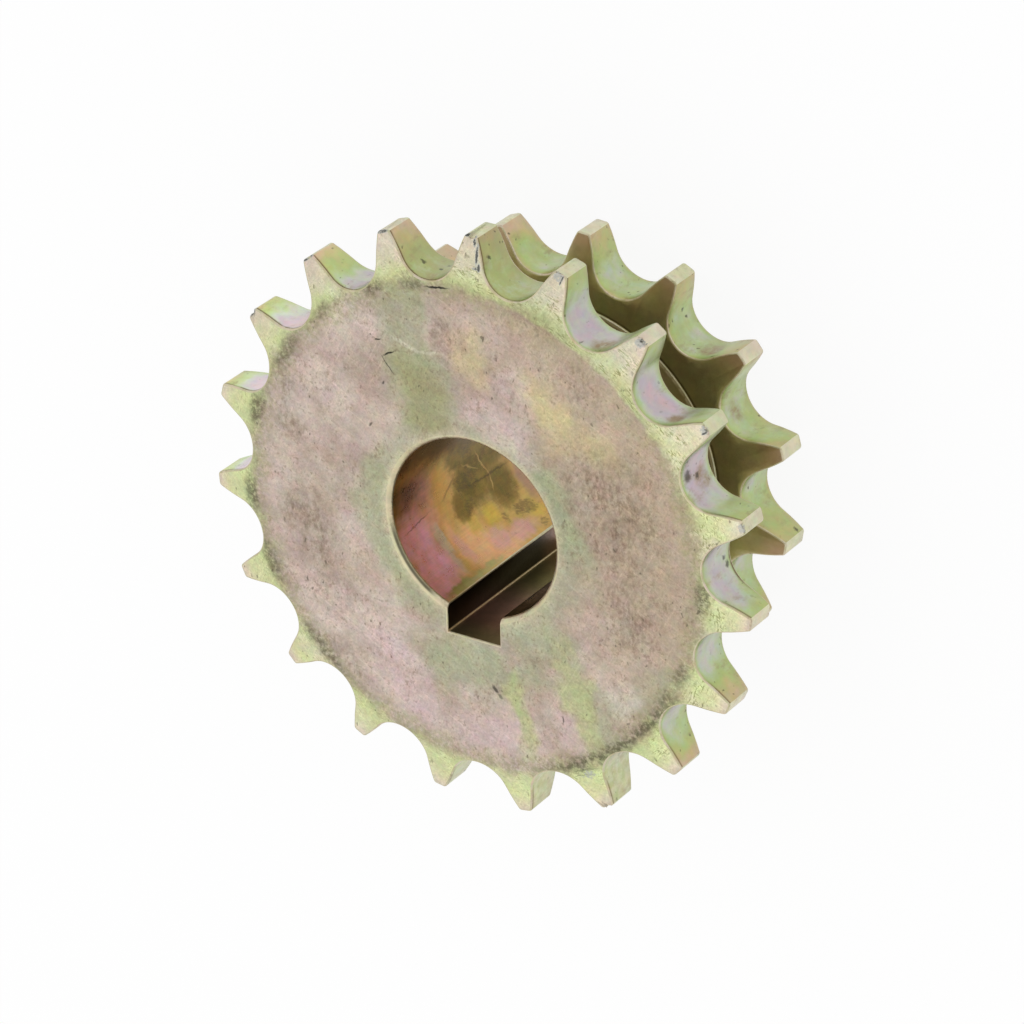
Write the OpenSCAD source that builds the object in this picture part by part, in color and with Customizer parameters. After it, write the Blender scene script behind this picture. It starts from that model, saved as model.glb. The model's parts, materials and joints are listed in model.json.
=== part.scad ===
// Stepped chain pinion: two rows of roller-chain teeth on one steel blank, with a keyed bore.
// It stands on the small row's outer face, its axis along Z and the large row on top.
// The keyway points to -Y, in line with a gap of the large row.

/* [Chain] */
// Chain pitch, mm
chain_pitch = 12.7; // [11:0.1:15]
// Diameter of the chain's rollers
roller_d = 8.51; // [7.5:0.01:9]

/* [Teeth] */
// Teeth on the large row
large_teeth = 19; // [17:1:30]
// Teeth on the small row
small_teeth = 15; // [14:1:19]
// Extra radius of a tooth seat over the roller
seat_clearance = 0.1; // [0:0.01:0.3]
// Angle of the seat that holds a roller, for a rack, degrees
seat_angle = 137; // [128:0.5:140]
// Flank radius, as a share of the roller diameter times the tooth count plus two
flank_ratio = 0.16; // [0.12:0.01:0.25]
// Height of the tooth tips above the pitch circle
tip_height = 2.15; // [1.5:0.05:3]
// Turn of the small row against the large one, clockwise from above, degrees
row_phase = 3.5; // [-12:0.5:12]

/* [Rows] */
// Width of each row over its flat faces
row_w = 7.2; // [6:0.1:9]
// Distance between the middles of the two rows
row_spacing = 23.5; // [18:0.1:30]
// How far a tooth's side leans in from the flat face, at the tip
side_relief = 1.2; // [0.5:0.05:2]
// Distance from the bottom of the tooth gaps in to the rim of the flat faces
rim_margin = 0.3; // [0.1:0.05:1]

/* [Core and bore] */
// Diameter of the round core between the rows
core_d = 45; // [40:0.5:48]
// Radius left by the turning tool in the corners of the groove
groove_fillet = 0.6; // [0.2:0.1:1.5]
// Diameter of the bore
bore_d = 25; // [18:0.5:30]
// Width of the keyway
key_w = 8; // [5:0.5:10]
// Depth of the keyway, from the bore wall to its floor
key_depth = 3.3; // [2:0.1:4]
// Chamfer round both ends of the bore
bore_chamfer = 0.5; // [0.3:0.1:1.5]

/* [Hidden] */
$fn = 96;
plating = [0.74, 0.70, 0.55];
// Length by which a cut runs past the face that it opens
past = 1;
total_w = row_spacing + row_w;
seat_r = roller_d / 2 + seat_clearance;

// Radius of the circle that the roller centres lie on, for a row of z teeth
function pitch_r(z) = chain_pitch / (2 * sin(180 / z));
function root_r(z) = pitch_r(z) - seat_r;
function tip_r(z) = pitch_r(z) + tip_height;
function rim_r(z) = root_r(z) - rim_margin;
// Half the angle over which the seat arc holds its roller
function seat_half(z) = seat_angle / 2 - 45 / z;
function flank_r(z) = flank_ratio * roller_d * (z + 2);

// One tooth gap, centred on +Y: a round seat that runs into two convex flanks
module gap_outline(z) {
    half = seat_half(z);
    meet = [seat_r * sin(half), pitch_r(z) - seat_r * cos(half)];
    reach = tip_r(z) + past;
    flank_at = [(seat_r + flank_r(z)) * sin(half), pitch_r(z) - (seat_r + flank_r(z)) * cos(half)];
    translate([0, pitch_r(z)])
        circle(seat_r);
    difference() {
        polygon([[-meet.x, meet.y], meet,
                 [reach * tan(180 / z), reach], [-reach * tan(180 / z), reach]]);
        for (side = [-1, 1])
            translate([side * flank_at.x, flank_at.y])
                circle(flank_r(z), $fn = 240);
    }
}

// Disc with the side lean of the teeth, from its lower flat face up
module row_blank(z) {
    rotate_extrude($fn = 180)
        polygon([[0, 0], [rim_r(z), 0], [tip_r(z), side_relief],
                 [tip_r(z), row_w - side_relief], [rim_r(z), row_w], [0, row_w]]);
}

// One row of teeth, with a gap centred on -Y
module tooth_row(z) {
    intersection() {
        row_blank(z);
        linear_extrude(row_w)
            difference() {
                circle(tip_r(z) + past, $fn = 180);
                for (i = [0 : z - 1])
                    rotate(180 + i * 360 / z)
                        gap_outline(z);
            }
    }
}

// Round core with a small fillet up to each row
module core() {
    low = row_w;
    high = row_spacing;
    rotate_extrude($fn = 180)
        difference() {
            translate([0, low - past])
                square([core_d / 2 + groove_fillet, high - low + 2 * past]);
            translate([core_d / 2 + groove_fillet, low + groove_fillet])
                circle(groove_fillet, $fn = 32);
            translate([core_d / 2 + groove_fillet, high - groove_fillet])
                circle(groove_fillet, $fn = 32);
            translate([core_d / 2, low + groove_fillet])
                square([groove_fillet + past, high - low - 2 * groove_fillet]);
        }
}

// Bore with a chamfer at each end, and the keyway that runs through it
module keyed_bore() {
    translate([0, 0, -past])
        cylinder(d = bore_d, h = total_w + 2 * past, $fn = 120);
    cylinder(d1 = bore_d + 2 * bore_chamfer, d2 = bore_d, h = bore_chamfer, $fn = 120);
    translate([0, 0, total_w - bore_chamfer])
        cylinder(d1 = bore_d, d2 = bore_d + 2 * bore_chamfer, h = bore_chamfer, $fn = 120);
    translate([-key_w / 2, -bore_d / 2 - key_depth, -past])
        cube([key_w, bore_d / 2 + key_depth, total_w + 2 * past]);
}

module chain_pinion() {
    color(plating)
        difference() {
            union() {
                rotate(-row_phase)
                    tooth_row(small_teeth);
                core();
                translate([0, 0, row_spacing])
                    tooth_row(large_teeth);
            }
            keyed_bore();
        }
}

chain_pinion();
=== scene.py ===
# %% [markdown]
# # A plated chain pinion
# The part is one turned and toothed piece of steel with a yellow zinc finish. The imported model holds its
# exact form, so this script only dresses it: it softens the edges as a plating tumbler does, sorts the
# faces by how each was machined, gives every kind of face its own procedural finish, and sets up the shot.

# %% Load the frame
import json
import math
import random

import bmesh
import bpy
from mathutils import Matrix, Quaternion, Vector

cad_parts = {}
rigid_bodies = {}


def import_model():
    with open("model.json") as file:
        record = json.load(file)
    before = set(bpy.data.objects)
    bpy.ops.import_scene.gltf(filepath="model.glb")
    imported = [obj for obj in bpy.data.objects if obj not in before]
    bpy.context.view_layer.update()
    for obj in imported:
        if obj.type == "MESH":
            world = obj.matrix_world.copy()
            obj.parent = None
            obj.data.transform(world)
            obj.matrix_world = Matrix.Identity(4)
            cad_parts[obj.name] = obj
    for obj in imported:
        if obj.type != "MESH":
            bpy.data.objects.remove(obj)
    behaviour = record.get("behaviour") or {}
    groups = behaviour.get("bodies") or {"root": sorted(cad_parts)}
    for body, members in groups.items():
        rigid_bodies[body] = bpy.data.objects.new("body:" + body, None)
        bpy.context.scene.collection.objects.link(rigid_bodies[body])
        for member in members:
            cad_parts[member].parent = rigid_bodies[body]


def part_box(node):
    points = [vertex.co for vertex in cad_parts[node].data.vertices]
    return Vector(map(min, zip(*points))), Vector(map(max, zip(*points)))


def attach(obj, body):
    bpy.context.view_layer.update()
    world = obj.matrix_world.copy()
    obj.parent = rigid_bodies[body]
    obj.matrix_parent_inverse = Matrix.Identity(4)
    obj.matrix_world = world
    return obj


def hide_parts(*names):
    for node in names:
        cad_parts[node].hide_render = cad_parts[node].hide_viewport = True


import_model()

# Blender's own start scene, where it is open, would be measured along with the part
START_SCENE = ("Cube", "Light", "Camera")
for stray in [thing for thing in bpy.data.objects if thing.name in START_SCENE]:
    bpy.data.objects.remove(stray)
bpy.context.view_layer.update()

# %% [markdown]
# ## Sizes
# The two rows of teeth share one chain, so their tips and roots follow from the pitch and the tooth counts,
# just as they do in the solid model. They could be measured on the mesh, but the formula says where they
# come from. Lengths are in metres, as Blender keeps them, and `MM` turns millimetres into metres.

# %% Sizes of the part
MM = 0.001
low, high = (Vector(corner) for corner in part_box("chain_pinion"))
FACE = high.z / MM
ROW_WIDTH = 7.2
SIDE_RELIEF = 1.2
CHAIN_PITCH = 12.7
SEAT_RADIUS = 4.355
TIP_HEIGHT = 2.15
RIM_MARGIN = 0.3
BORE_RADIUS = 12.5
BORE_CHAMFER = 0.5
CORE_RADIUS = 22.5
KEY_HALF_WIDTH = 4
KEY_FLOOR = 15.8
TEETH = {"large": 19, "small": 15}


def pitch_radius(teeth):
    return CHAIN_PITCH / (2 * math.sin(math.pi / teeth))


TIP = {row: pitch_radius(teeth) + TIP_HEIGHT for row, teeth in TEETH.items()}
ROOT = {row: pitch_radius(teeth) - SEAT_RADIUS for row, teeth in TEETH.items()}
RIM = {row: ROOT[row] - RIM_MARGIN for row in TEETH}
MIDDLE = {"large": FACE - ROW_WIDTH / 2, "small": ROW_WIDTH / 2}
LEAN = SIDE_RELIEF / (TIP["large"] - RIM["large"])
print("tips", {row: round(reach, 2) for row, reach in TIP.items()}, "width", round(FACE, 2))

# %% [markdown]
# ## The metal
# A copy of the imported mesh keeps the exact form. It comes as loose triangles, so equal points are merged
# and triangles that share a plane become one face. Real edges are never knife sharp: the tooth gaps are
# deburred and the plating rounds every corner, which is what catches the light. A bevel modifier could do
# that, but the bevel operator also hands back the new faces, so they can wear a finish of their own.

# %% Merge the copy
FLAT_ANGLE = math.radians(0.3)
SHARP_ANGLE = math.radians(25)
MERGE = 0.001 * MM
TOUCH = 0.05


def reach_of(point):
    return math.hypot(point.co.x, point.co.y) / MM


def at_reach(point, reach):
    return abs(reach_of(point) - reach) < TOUCH


def on_land(face):
    """True for the narrow land that the lathe left on a tooth tip."""
    return any(all(at_reach(point, reach) for point in face.verts) for reach in TIP.values())


metal = bmesh.new()
metal.from_mesh(bpy.data.objects["chain_pinion"].data)
bmesh.ops.remove_doubles(metal, verts=metal.verts, dist=MERGE)
bmesh.ops.dissolve_limit(metal, angle_limit=FLAT_ANGLE, verts=metal.verts, edges=metal.edges)
seams = [edge for edge in metal.edges if all(on_land(face) for face in edge.link_faces)]
bmesh.ops.dissolve_edges(metal, edges=seams, use_verts=True)
print("merged copy:", len(metal.faces), "faces")

# %% [markdown]
# ## Tooth corners
# The two upright corners of each tooth tip are the first that loose parts strike, so they are rounded more
# than other edges. One bevel with a weight on each edge could do all edges at once, but two passes of the
# operator say more plainly what is rounded how much.

# %% Round the tooth corners
CORNER_ROUNDING = 0.3
CORNER_SEGMENTS = 4
CORE_ZONE = (BORE_RADIUS + 5, RIM["small"])
UPRIGHT = 0.99


def sharp_edges():
    """Outward edges that are sharp. The fillets of the core, between bore and teeth, stay as they are."""
    return [edge for edge in metal.edges
            if edge.is_manifold and edge.calc_face_angle_signed() > SHARP_ANGLE
            and not CORE_ZONE[0] < max(map(reach_of, edge.verts)) < CORE_ZONE[1]]


def at_tip_corner(edge):
    upright = abs(edge.verts[0].co.z - edge.verts[1].co.z) > UPRIGHT * edge.calc_length()
    return upright and any(at_reach(edge.verts[0], reach) for reach in TIP.values())


def round_off(edges, offset, segments):
    made = bmesh.ops.bevel(
        metal, geom=edges, offset=offset * MM, offset_type="OFFSET", segments=segments, profile=0.5,
        affect="EDGES", clamp_overlap=False, material=-1)
    return set(made["faces"])


tip_corners = [edge for edge in sharp_edges() if at_tip_corner(edge)]
corner_faces = round_off(tip_corners, CORNER_ROUNDING, CORNER_SEGMENTS)
print("rounded", len(corner_faces), "faces at tooth corners")

# %% [markdown]
# ## Dents
# The pinion was knocked against others in a bin: the front corners of several teeth are dented. A dent is
# made before the edges are rounded, by cutting the front edge of the tip into short pieces and pushing their
# points in and down. A level cut through the tooth sides, just in from the tips, keeps the dent from pulling
# the whole side along, and the edge rounding then runs over the dent as it would on the real tooth.

# %% Dent the front corners of some teeth
DENT_DEPTH = {0: 0.45, 1: 0.3, 2: 0.4, 3: 0.25, 4: 0.2, 8: 0.12, 16: 0.35, 17: 0.35, 18: 0.3}
DENT_REACH = 1.2
DENT_CUTS = 4
DENT_IN = (0.1, 0.6)
DENT_DOWN = (0.1, 0.8)
LONG_EDGE = 0.5
FACES_UP = 0.9
chance = random.Random(7)


def tooth_turn(number):
    """Angle of a tooth of the large row about the axis, counted clockwise from the one on +Y."""
    return math.radians(90 - number * 360 / TEETH["large"])


def tooth_of(point):
    turn = math.pi / 2 - math.atan2(point.y, point.x)
    return round(turn * TEETH["large"] / math.tau) % TEETH["large"]


def front_edge(edge):
    level = all(abs(point.co.z / MM - (FACE - SIDE_RELIEF)) < TOUCH for point in edge.verts)
    return level and all(at_reach(point, TIP["large"]) for point in edge.verts)


sides = [face for face in metal.faces if face.normal.z > FACES_UP
         and max(map(reach_of, face.verts)) > TIP["large"] - TOUCH]
near_tips = set(sides)
for face in sides:
    near_tips.update(face.edges, face.verts)
bmesh.ops.bisect_plane(
    metal, geom=list(near_tips), dist=MERGE, plane_no=(0, 0, 1),
    plane_co=(0, 0, (FACE - SIDE_RELIEF + LEAN * DENT_REACH) * MM))
struck = [edge for edge in metal.edges if front_edge(edge) and edge.calc_length() > LONG_EDGE * MM
          and tooth_of((edge.verts[0].co + edge.verts[1].co) / 2) in DENT_DEPTH]
cut = bmesh.ops.subdivide_edges(metal, edges=struck, cuts=DENT_CUTS)
for point in [piece for piece in cut["geom_inner"] if isinstance(piece, bmesh.types.BMVert)]:
    depth = DENT_DEPTH[tooth_of(point.co)] * MM
    inward = Vector((-point.co.x, -point.co.y, 0)).normalized()
    push = inward * depth * chance.uniform(*DENT_IN)
    drop = Vector((0, 0, depth * chance.uniform(*DENT_DOWN)))
    point.co += push - drop
print("dented", len(struck), "tooth tips")

# %% [markdown]
# ## All other edges
# The other edges get a smaller radius in two steps, enough to catch a thin line of light. The operator may
# lift a point a hair above a flat face, so heights are held to the solid's own, and slivers are dissolved.

# %% Round every other sharp edge
EDGE_ROUNDING = 0.2
EDGE_SEGMENTS = 2

edge_faces = round_off(sharp_edges(), EDGE_ROUNDING, EDGE_SEGMENTS)
for point in metal.verts:
    point.co.z = min(max(point.co.z, low.z), high.z)
bmesh.ops.dissolve_degenerate(metal, dist=MERGE, edges=metal.edges)
edge_faces = {face for face in edge_faces if face.is_valid}
print("rounded edges:", len(edge_faces), "faces of", len(metal.faces))

# %% [markdown]
# ## Which face was machined how
# The lathe left the flat faces, the tooth sides, the tips, the groove and the core; the hob cut the tooth
# gaps; the bore was drilled and reamed, and the keyway broached. Each took the plating differently. Height,
# radius and the way a face looks are enough to tell them apart, so no face has to be picked by hand.

# %% Sort the faces by how they were machined
FINISHES = ["turned_face", "tooth_gap", "tooth_tip", "groove", "bore_wall", "keyway", "worn_edge"]
NEAR = 0.15
TIP_BAND = 1
KEY_MOUTH = BORE_RADIUS * 0.93
LOOKS_OUT = 0.7
# How level a face lies, from 0 for an upright wall to 1 for a flat face
WALL = 0.1
BORE_WALL = 0.3
KEY_WALL = 0.5
SLANT = 0.7
FLAT = 0.9


def finish_of(face):
    """Name of the finish that a face takes, from its place and the way it looks."""
    middle = face.calc_center_median() / MM
    reach = math.hypot(middle.x, middle.y)
    level = abs(face.normal.z)
    row = "large" if middle.z > FACE / 2 else "small"
    outside = middle.z > FACE - SIDE_RELIEF - NEAR or middle.z < SIDE_RELIEF + NEAR
    in_key = abs(middle.x) < KEY_HALF_WIDTH + NEAR and -KEY_FLOOR - NEAR < middle.y < -KEY_MOUTH
    if face in edge_faces:
        return "worn_edge"
    if in_key and level < KEY_WALL:
        return "keyway"
    if reach < BORE_RADIUS + BORE_CHAMFER and level < FLAT:
        return "bore_wall" if level < BORE_WALL else "worn_edge"
    outward = (face.normal.x * middle.x + face.normal.y * middle.y) / reach
    if reach > TIP[row] - TIP_BAND and (outward > LOOKS_OUT or WALL < level < SLANT):
        return "tooth_tip"
    if level < WALL and reach > RIM[row] - NEAR:
        return "tooth_gap"
    return "turned_face" if outside else "groove"


counts = dict.fromkeys(FINISHES, 0)
for face in metal.faces:
    name = finish_of(face)
    face.material_index = FINISHES.index(name)
    face.smooth = True
    counts[name] += 1
for edge in metal.edges:
    edge.smooth = not (edge.is_manifold and edge.calc_face_angle() > SHARP_ANGLE)
print("faces by finish", counts)

# %% [markdown]
# ## The dressed piece
# The metal becomes a mesh object at the origin, unturned and unscaled, so it lies exactly over the solid.
# Its place could be the object's own, but the patterns read Object coordinates and would shift with it.

# %% Make the dressed piece
mesh = bpy.data.meshes.new("plated_pinion")
metal.to_mesh(mesh)
metal.free()
pinion = bpy.data.objects.new("plated_pinion", mesh)
bpy.context.scene.collection.objects.link(pinion)
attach(pinion, "root")
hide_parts("chain_pinion")
print("dressed piece:", len(mesh.polygons), "faces")

# %% [markdown]
# ## Wiring helpers
# Materials are networks of nodes. Writing each link by hand hides the idea behind the finish, so a small
# class adds a node, feeds its inputs with sockets or plain numbers, and hands back the output.


# %% A helper for node networks
def srgb(red, green, blue):
    """A colour as it is read off a screen, 0 to 255, turned into the linear values that Blender wants."""
    levels = (channel / 255 for channel in (red, green, blue))
    linear = [c / 12.92 if c <= 0.04045 else ((c + 0.055) / 1.055) ** 2.4 for c in levels]
    return (*linear, 1.0)


class Wiring:
    """Adds nodes to one tree. Every method returns the socket that the next node needs."""

    def __init__(self, tree):
        self.tree = tree

    def feed(self, socket, value):
        if isinstance(value, bpy.types.NodeSocket):
            self.tree.links.new(value, socket)
        elif value is not None:
            socket.default_value = value

    def node(self, kind, **settings):
        made = self.tree.nodes.new(kind)
        for name, value in settings.items():
            setattr(made, name, value)
        return made

    def math(self, operation, first, second=None, third=None):
        made = self.node("ShaderNodeMath", operation=operation)
        for socket, value in zip(made.inputs, (first, second, third)):
            self.feed(socket, value)
        return made.outputs["Value"]

    def times(self, *factors):
        result = factors[0]
        for factor in factors[1:]:
            result = self.math("MULTIPLY", result, factor)
        return result

    def vector(self, operation, first, second=None, third=None):
        made = self.node("ShaderNodeVectorMath", operation=operation)
        for socket, value in zip(made.inputs, (first, second, third)):
            self.feed(socket, value)
        return made.outputs["Vector"]

    def step(self, value, start, end, to_start=0.0, to_end=1.0):
        """Smooth step from to_start to to_end as the value goes from start to end."""
        made = self.node("ShaderNodeMapRange", interpolation_type="SMOOTHSTEP")
        for name, given in (("Value", value), ("From Min", start), ("From Max", end),
                            ("To Min", to_start), ("To Max", to_end)):
            self.feed(made.inputs[name], given)
        return made.outputs["Result"]

    def spread(self, noise, least, most):
        """A noise, whose values lie mostly from 0.3 to 0.7, laid over the range from least to most."""
        return self.step(noise, 0.3, 0.7, least, most)

    def mix(self, share, first, second):
        made = self.node("ShaderNodeMix", data_type="RGBA")
        # The node holds sockets for each kind of data: inputs 6 and 7 and output 2 are the colours
        sockets = (made.inputs["Factor"], made.inputs[6], made.inputs[7])
        for socket, value in zip(sockets, (share, first, second)):
            self.feed(socket, value)
        return made.outputs[2]

    def shade(self, colour, strength):
        """The colour made lighter or darker: 1 leaves it alone."""
        made = self.node("ShaderNodeVectorMath", operation="SCALE")
        self.feed(made.inputs[0], colour)
        self.feed(made.inputs["Scale"], strength)
        return made.outputs["Vector"]

    def ramp(self, share, stops):
        made = self.node("ShaderNodeValToRGB")
        elements = made.color_ramp.elements
        while len(elements) < len(stops):
            elements.new(0.5)
        for element, (position, colour) in zip(elements, stops):
            element.position = position
            element.color = colour
        self.feed(made.inputs["Fac"], share)
        return made.outputs["Color"]

    def stretch(self, vector, scale, turn=0.0):
        """The vector turned about Z, in degrees, and then scaled: a small scale draws a pattern out."""
        turned = self.node("ShaderNodeVectorRotate", rotation_type="Z_AXIS")
        self.feed(turned.inputs["Vector"], vector)
        self.feed(turned.inputs["Angle"], math.radians(turn))
        return self.vector("MULTIPLY", turned.outputs["Vector"], scale)

    def clouds(self, vector, size, detail=3.0, roughness=0.5):
        """Cloudy noise from 0 to 1 whose patches are about the given size, in millimetres."""
        made = self.node("ShaderNodeTexNoise", noise_dimensions="3D")
        for name, value in (("Vector", vector), ("Scale", 1 / size),
                            ("Detail", detail), ("Roughness", roughness)):
            self.feed(made.inputs[name], value)
        return made.outputs

    def noise(self, *settings, **named_settings):
        return self.clouds(*settings, **named_settings)["Fac"]

    def sway(self, vector, size, amount):
        """The vector pushed about by noise, so that what is drawn on it has a wavering outline."""
        push = self.vector("SUBTRACT", self.clouds(vector, size)["Color"], (0.5, 0.5, 0.5))
        return self.vector("MULTIPLY_ADD", push, (amount, amount, amount), vector)

    def tinge(self, colour, vector, size, amount):
        """The colour with red, green and blue varied a little, each by itself, as a worn film varies."""
        vary = self.vector("MULTIPLY_ADD", self.clouds(vector, size)["Color"], (amount, amount, amount),
                           (1 - amount / 2, 1 - amount / 2, 1 - amount / 2))
        return self.vector("MULTIPLY", colour, vary)

    def split(self, vector):
        made = self.node("ShaderNodeSeparateXYZ")
        self.feed(made.inputs[0], vector)
        return made.outputs

    def along(self, vector, direction):
        """How far the vector reaches along a direction (x, y)."""
        parts = self.vector("MULTIPLY", vector, (*direction, 0))
        return self.math("ADD", self.split(parts)["X"], self.split(parts)["Y"])

    def join(self, x, y, z):
        made = self.node("ShaderNodeCombineXYZ")
        for socket, value in zip(made.inputs, (x, y, z)):
            self.feed(socket, value)
        return made.outputs["Vector"]

    def group(self, tree, **inputs):
        made = self.node("ShaderNodeGroup", node_tree=tree)
        for name, value in inputs.items():
            self.feed(made.inputs[name], value)
        return made.outputs


def new_group(name, inputs, outputs):
    """An empty node group with named sockets: (wiring, its input sockets, its output sockets)."""
    tree = bpy.data.node_groups.new(name, "ShaderNodeTree")
    for kind, sockets in (("INPUT", inputs), ("OUTPUT", outputs)):
        for socket, shape in sockets.items():
            tree.interface.new_socket(socket, in_out=kind, socket_type=f"NodeSocket{shape}")
    start = tree.nodes.new("NodeGroupInput")
    end = tree.nodes.new("NodeGroupOutput")
    return Wiring(tree), start.outputs, end.inputs


# %% [markdown]
# ## Where on the part
# Nearly every mark follows the turned form: grime sits at the tooth roots, film colours follow the depth of
# a gap. This group turns Object coordinates into millimetres, distance from the axis, height, the turn about
# the axis counted from the keyway, and two distances within a row: out from its rim, and off its middle.

# %% Group: place on the part
wire, given, out = new_group("Place on the part", {}, {
    "Spot": "Vector", "Reach": "Float", "Height": "Float", "Turn": "Float", "Out": "Float", "Off": "Float"})
spot = wire.shade(wire.node("ShaderNodeTexCoord").outputs["Object"], 1 / MM)
axes = wire.split(spot)
square = wire.math("MULTIPLY_ADD", axes["X"], axes["X"], wire.times(axes["Y"], axes["Y"]))
reach = wire.math("SQRT", square)
upper = wire.math("GREATER_THAN", axes["Z"], FACE / 2)
rim = wire.math("MULTIPLY_ADD", upper, RIM["large"] - RIM["small"], RIM["small"])
middle = wire.math("MULTIPLY_ADD", upper, MIDDLE["large"] - MIDDLE["small"], MIDDLE["small"])
wire.feed(out["Spot"], spot)
wire.feed(out["Reach"], reach)
wire.feed(out["Height"], axes["Z"])
wire.feed(out["Turn"], wire.math("ARCTAN2", axes["X"], wire.times(axes["Y"], -1.0)))
wire.feed(out["Out"], wire.math("SUBTRACT", reach, rim))
wire.feed(out["Off"], wire.math("ABSOLUTE", wire.math("SUBTRACT", axes["Z"], middle)))
PLACE = wire.tree
print("group", PLACE.name)

# %% [markdown]
# ## The chromate film
# The yellow finish is a film thinner than a wavelength of light, so its colour runs through tan, green, blue
# grey, lavender and pink as it thickens. Blender has a thin-film input, but its colours shift with the
# viewer and don't travel to other programs. A ramp over film thickness gives the same bands as plain colour.

# %% Group: film colour over thickness
FILM_STOPS = [(0.00, srgb(204, 181, 148)), (0.16, srgb(192, 181, 130)), (0.38, srgb(177, 189, 125)),
              (0.55, srgb(183, 196, 149)), (0.68, srgb(193, 196, 180)), (0.82, srgb(192, 181, 185)),
              (0.95, srgb(202, 182, 184))]
wire, given, out = new_group("Chromate film", {"Thickness": "Float"}, {"Color": "Color"})
wire.feed(out["Color"], wire.ramp(given["Thickness"], FILM_STOPS))
FILM = wire.tree
print("group", FILM.name)

# %% [markdown]
# ## Grime
# Handling left soft clouds, a fine grain, smudges and small dark specks. Dots from a cell pattern would look
# printed, so smudges and specks are the peaks of a fine noise, let through only where a coarser one is high.

# %% Group: grime
wire, given, out = new_group("Grime", {"Spot": "Vector"}, {
    "Grain": "Float", "Patch": "Float", "Cloud": "Float", "Soil": "Float", "Specks": "Float"})
where = wire.step(wire.noise(given["Spot"], 6.0, detail=3.0, roughness=0.6), 0.42, 0.66)
smudge = wire.noise(wire.stretch(given["Spot"], (1.2, 0.8, 1)), 0.8, detail=5.0, roughness=0.75)
dots = wire.noise(wire.stretch(given["Spot"], (1.4, 0.8, 1)), 0.9, detail=1.0)
wire.feed(out["Grain"], wire.noise(given["Spot"], 0.3, detail=3.0, roughness=0.65))
wire.feed(out["Patch"], wire.noise(given["Spot"], 2.0, detail=5.0, roughness=0.65))
wire.feed(out["Cloud"], wire.noise(given["Spot"], 9.0, detail=5.0, roughness=0.6))
wire.feed(out["Soil"], wire.times(wire.step(smudge, 0.46, 0.72), where))
wire.feed(out["Specks"], wire.times(wire.step(dots, 0.69, 0.76), wire.step(where, 0.0, 0.6, 0.3, 1.0)))
GRIME = wire.tree
print("group", GRIME.name)

# %% [markdown]
# ## Soft ovals
# Some marks have a place of their own: a green cast above the bore, a scratch, a dent. An oval in its own
# turned and scaled space is one Mapping node and a round gradient, and its soft edge lets it melt into the
# rest. A distance from vector maths would do too, but a hundred of them make a material too big to render.

# %% Group: soft oval
OVAL_FADE = 1.35
OVAL_CORE = 1 / 3
OVAL_DEPTH = 2
wire, given, out = new_group(
    "Soft oval", {"Spot": "Vector", "Centre": "Vector", "Turn": "Vector", "Half": "Vector"},
    {"Mask": "Float"})
within = wire.node("ShaderNodeMapping", vector_type="TEXTURE")
for name, source in (("Vector", "Spot"), ("Location", "Centre"), ("Rotation", "Turn"), ("Scale", "Half")):
    wire.feed(within.inputs[name], given[source])
round_fade = wire.node("ShaderNodeTexGradient", gradient_type="SPHERICAL")
wire.feed(round_fade.inputs["Vector"], within.outputs["Vector"])
wire.feed(out["Mask"], wire.step(round_fade.outputs["Fac"], 0.0, 1 - OVAL_CORE))
OVAL = wire.tree
print("group", OVAL.name)


def oval_at(wire, spot, centre, turn, half):
    """Mask of one soft oval; its fade ends a little outside the given half lengths."""
    fade = [length * OVAL_FADE for length in half]
    return wire.group(OVAL, Spot=spot, Centre=centre, Turn=(0, 0, turn), Half=fade)["Mask"]


def ovals(wire, spot, level, places):
    """Mask of soft ovals: (x, y, half length, half width, turn in degrees, strength), in millimetres."""
    total = 0.0
    for x, y, half_length, half_width, turn, strength in places:
        oval = oval_at(wire, spot, (x, y, level), math.radians(turn), (half_length, half_width, OVAL_DEPTH))
        total = wire.math("MAXIMUM", total, wire.times(oval, strength))
    return total


def blots(wire, spot, places):
    """Mask of soft balls: (x, y, z, radius), in millimetres, for marks on faces that aren't level."""
    total = 0.0
    for x, y, z, radius in places:
        ball = oval_at(wire, spot, (x, y, z), 0.0, (radius, radius, radius))
        total = wire.math("MAXIMUM", total, ball)
    return total


# %% [markdown]
# ## Knocks
# Where a tooth was struck the film is gone: bare grey steel shows, with black in the deepest cuts. Each
# knock is an oval at a tooth, given by the tooth's number, how far it lies to the side, and its distance
# from the axis. The group gives two masks, and every finish that meets a tooth tip uses them.

# %% Group: knocks
KNOCKS = [(0, -0.2, 40.7, 0.2, 1.3, 1.0), (0, 0.7, 40.0, 0.6, 0.26, 1.0), (0, 1.15, 38.5, 1.7, 0.24, 1.0),
          (0, 1.55, 36.9, 0.6, 0.26, 1.0), (0, 1.1, 36.7, 0.2, 0.7, 0.9), (1, -0.2, 40.2, 0.7, 0.7, 0.6),
          (1, 0.4, 40.0, 0.8, 0.16, 1.0), (2, -0.1, 40.2, 0.7, 0.7, 0.7), (2, 0.3, 40.7, 0.3, 0.35, 1.0),
          (3, 0, 40.3, 0.5, 0.7, 0.6), (3, 0.35, 40.2, 0.6, 0.16, 1.0), (4, 0.1, 40.4, 0.5, 0.7, 0.55),
          (8, -0.4, 35.6, 0.9, 1.5, 0.4), (16, 0.2, 40.6, 0.22, 0.8, 0.95), (17, 0, 40.6, 0.22, 1.0, 0.95),
          (18, -0.2, 40.6, 0.25, 1.1, 0.9)]
KNOCK_DEPTH = 0.8
KNOCK_SHARE = 0.8
wire, given, out = new_group("Knocks", {"Spot": "Vector"}, {"Bare": "Float", "Black": "Float"})
struck = 0.0
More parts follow.
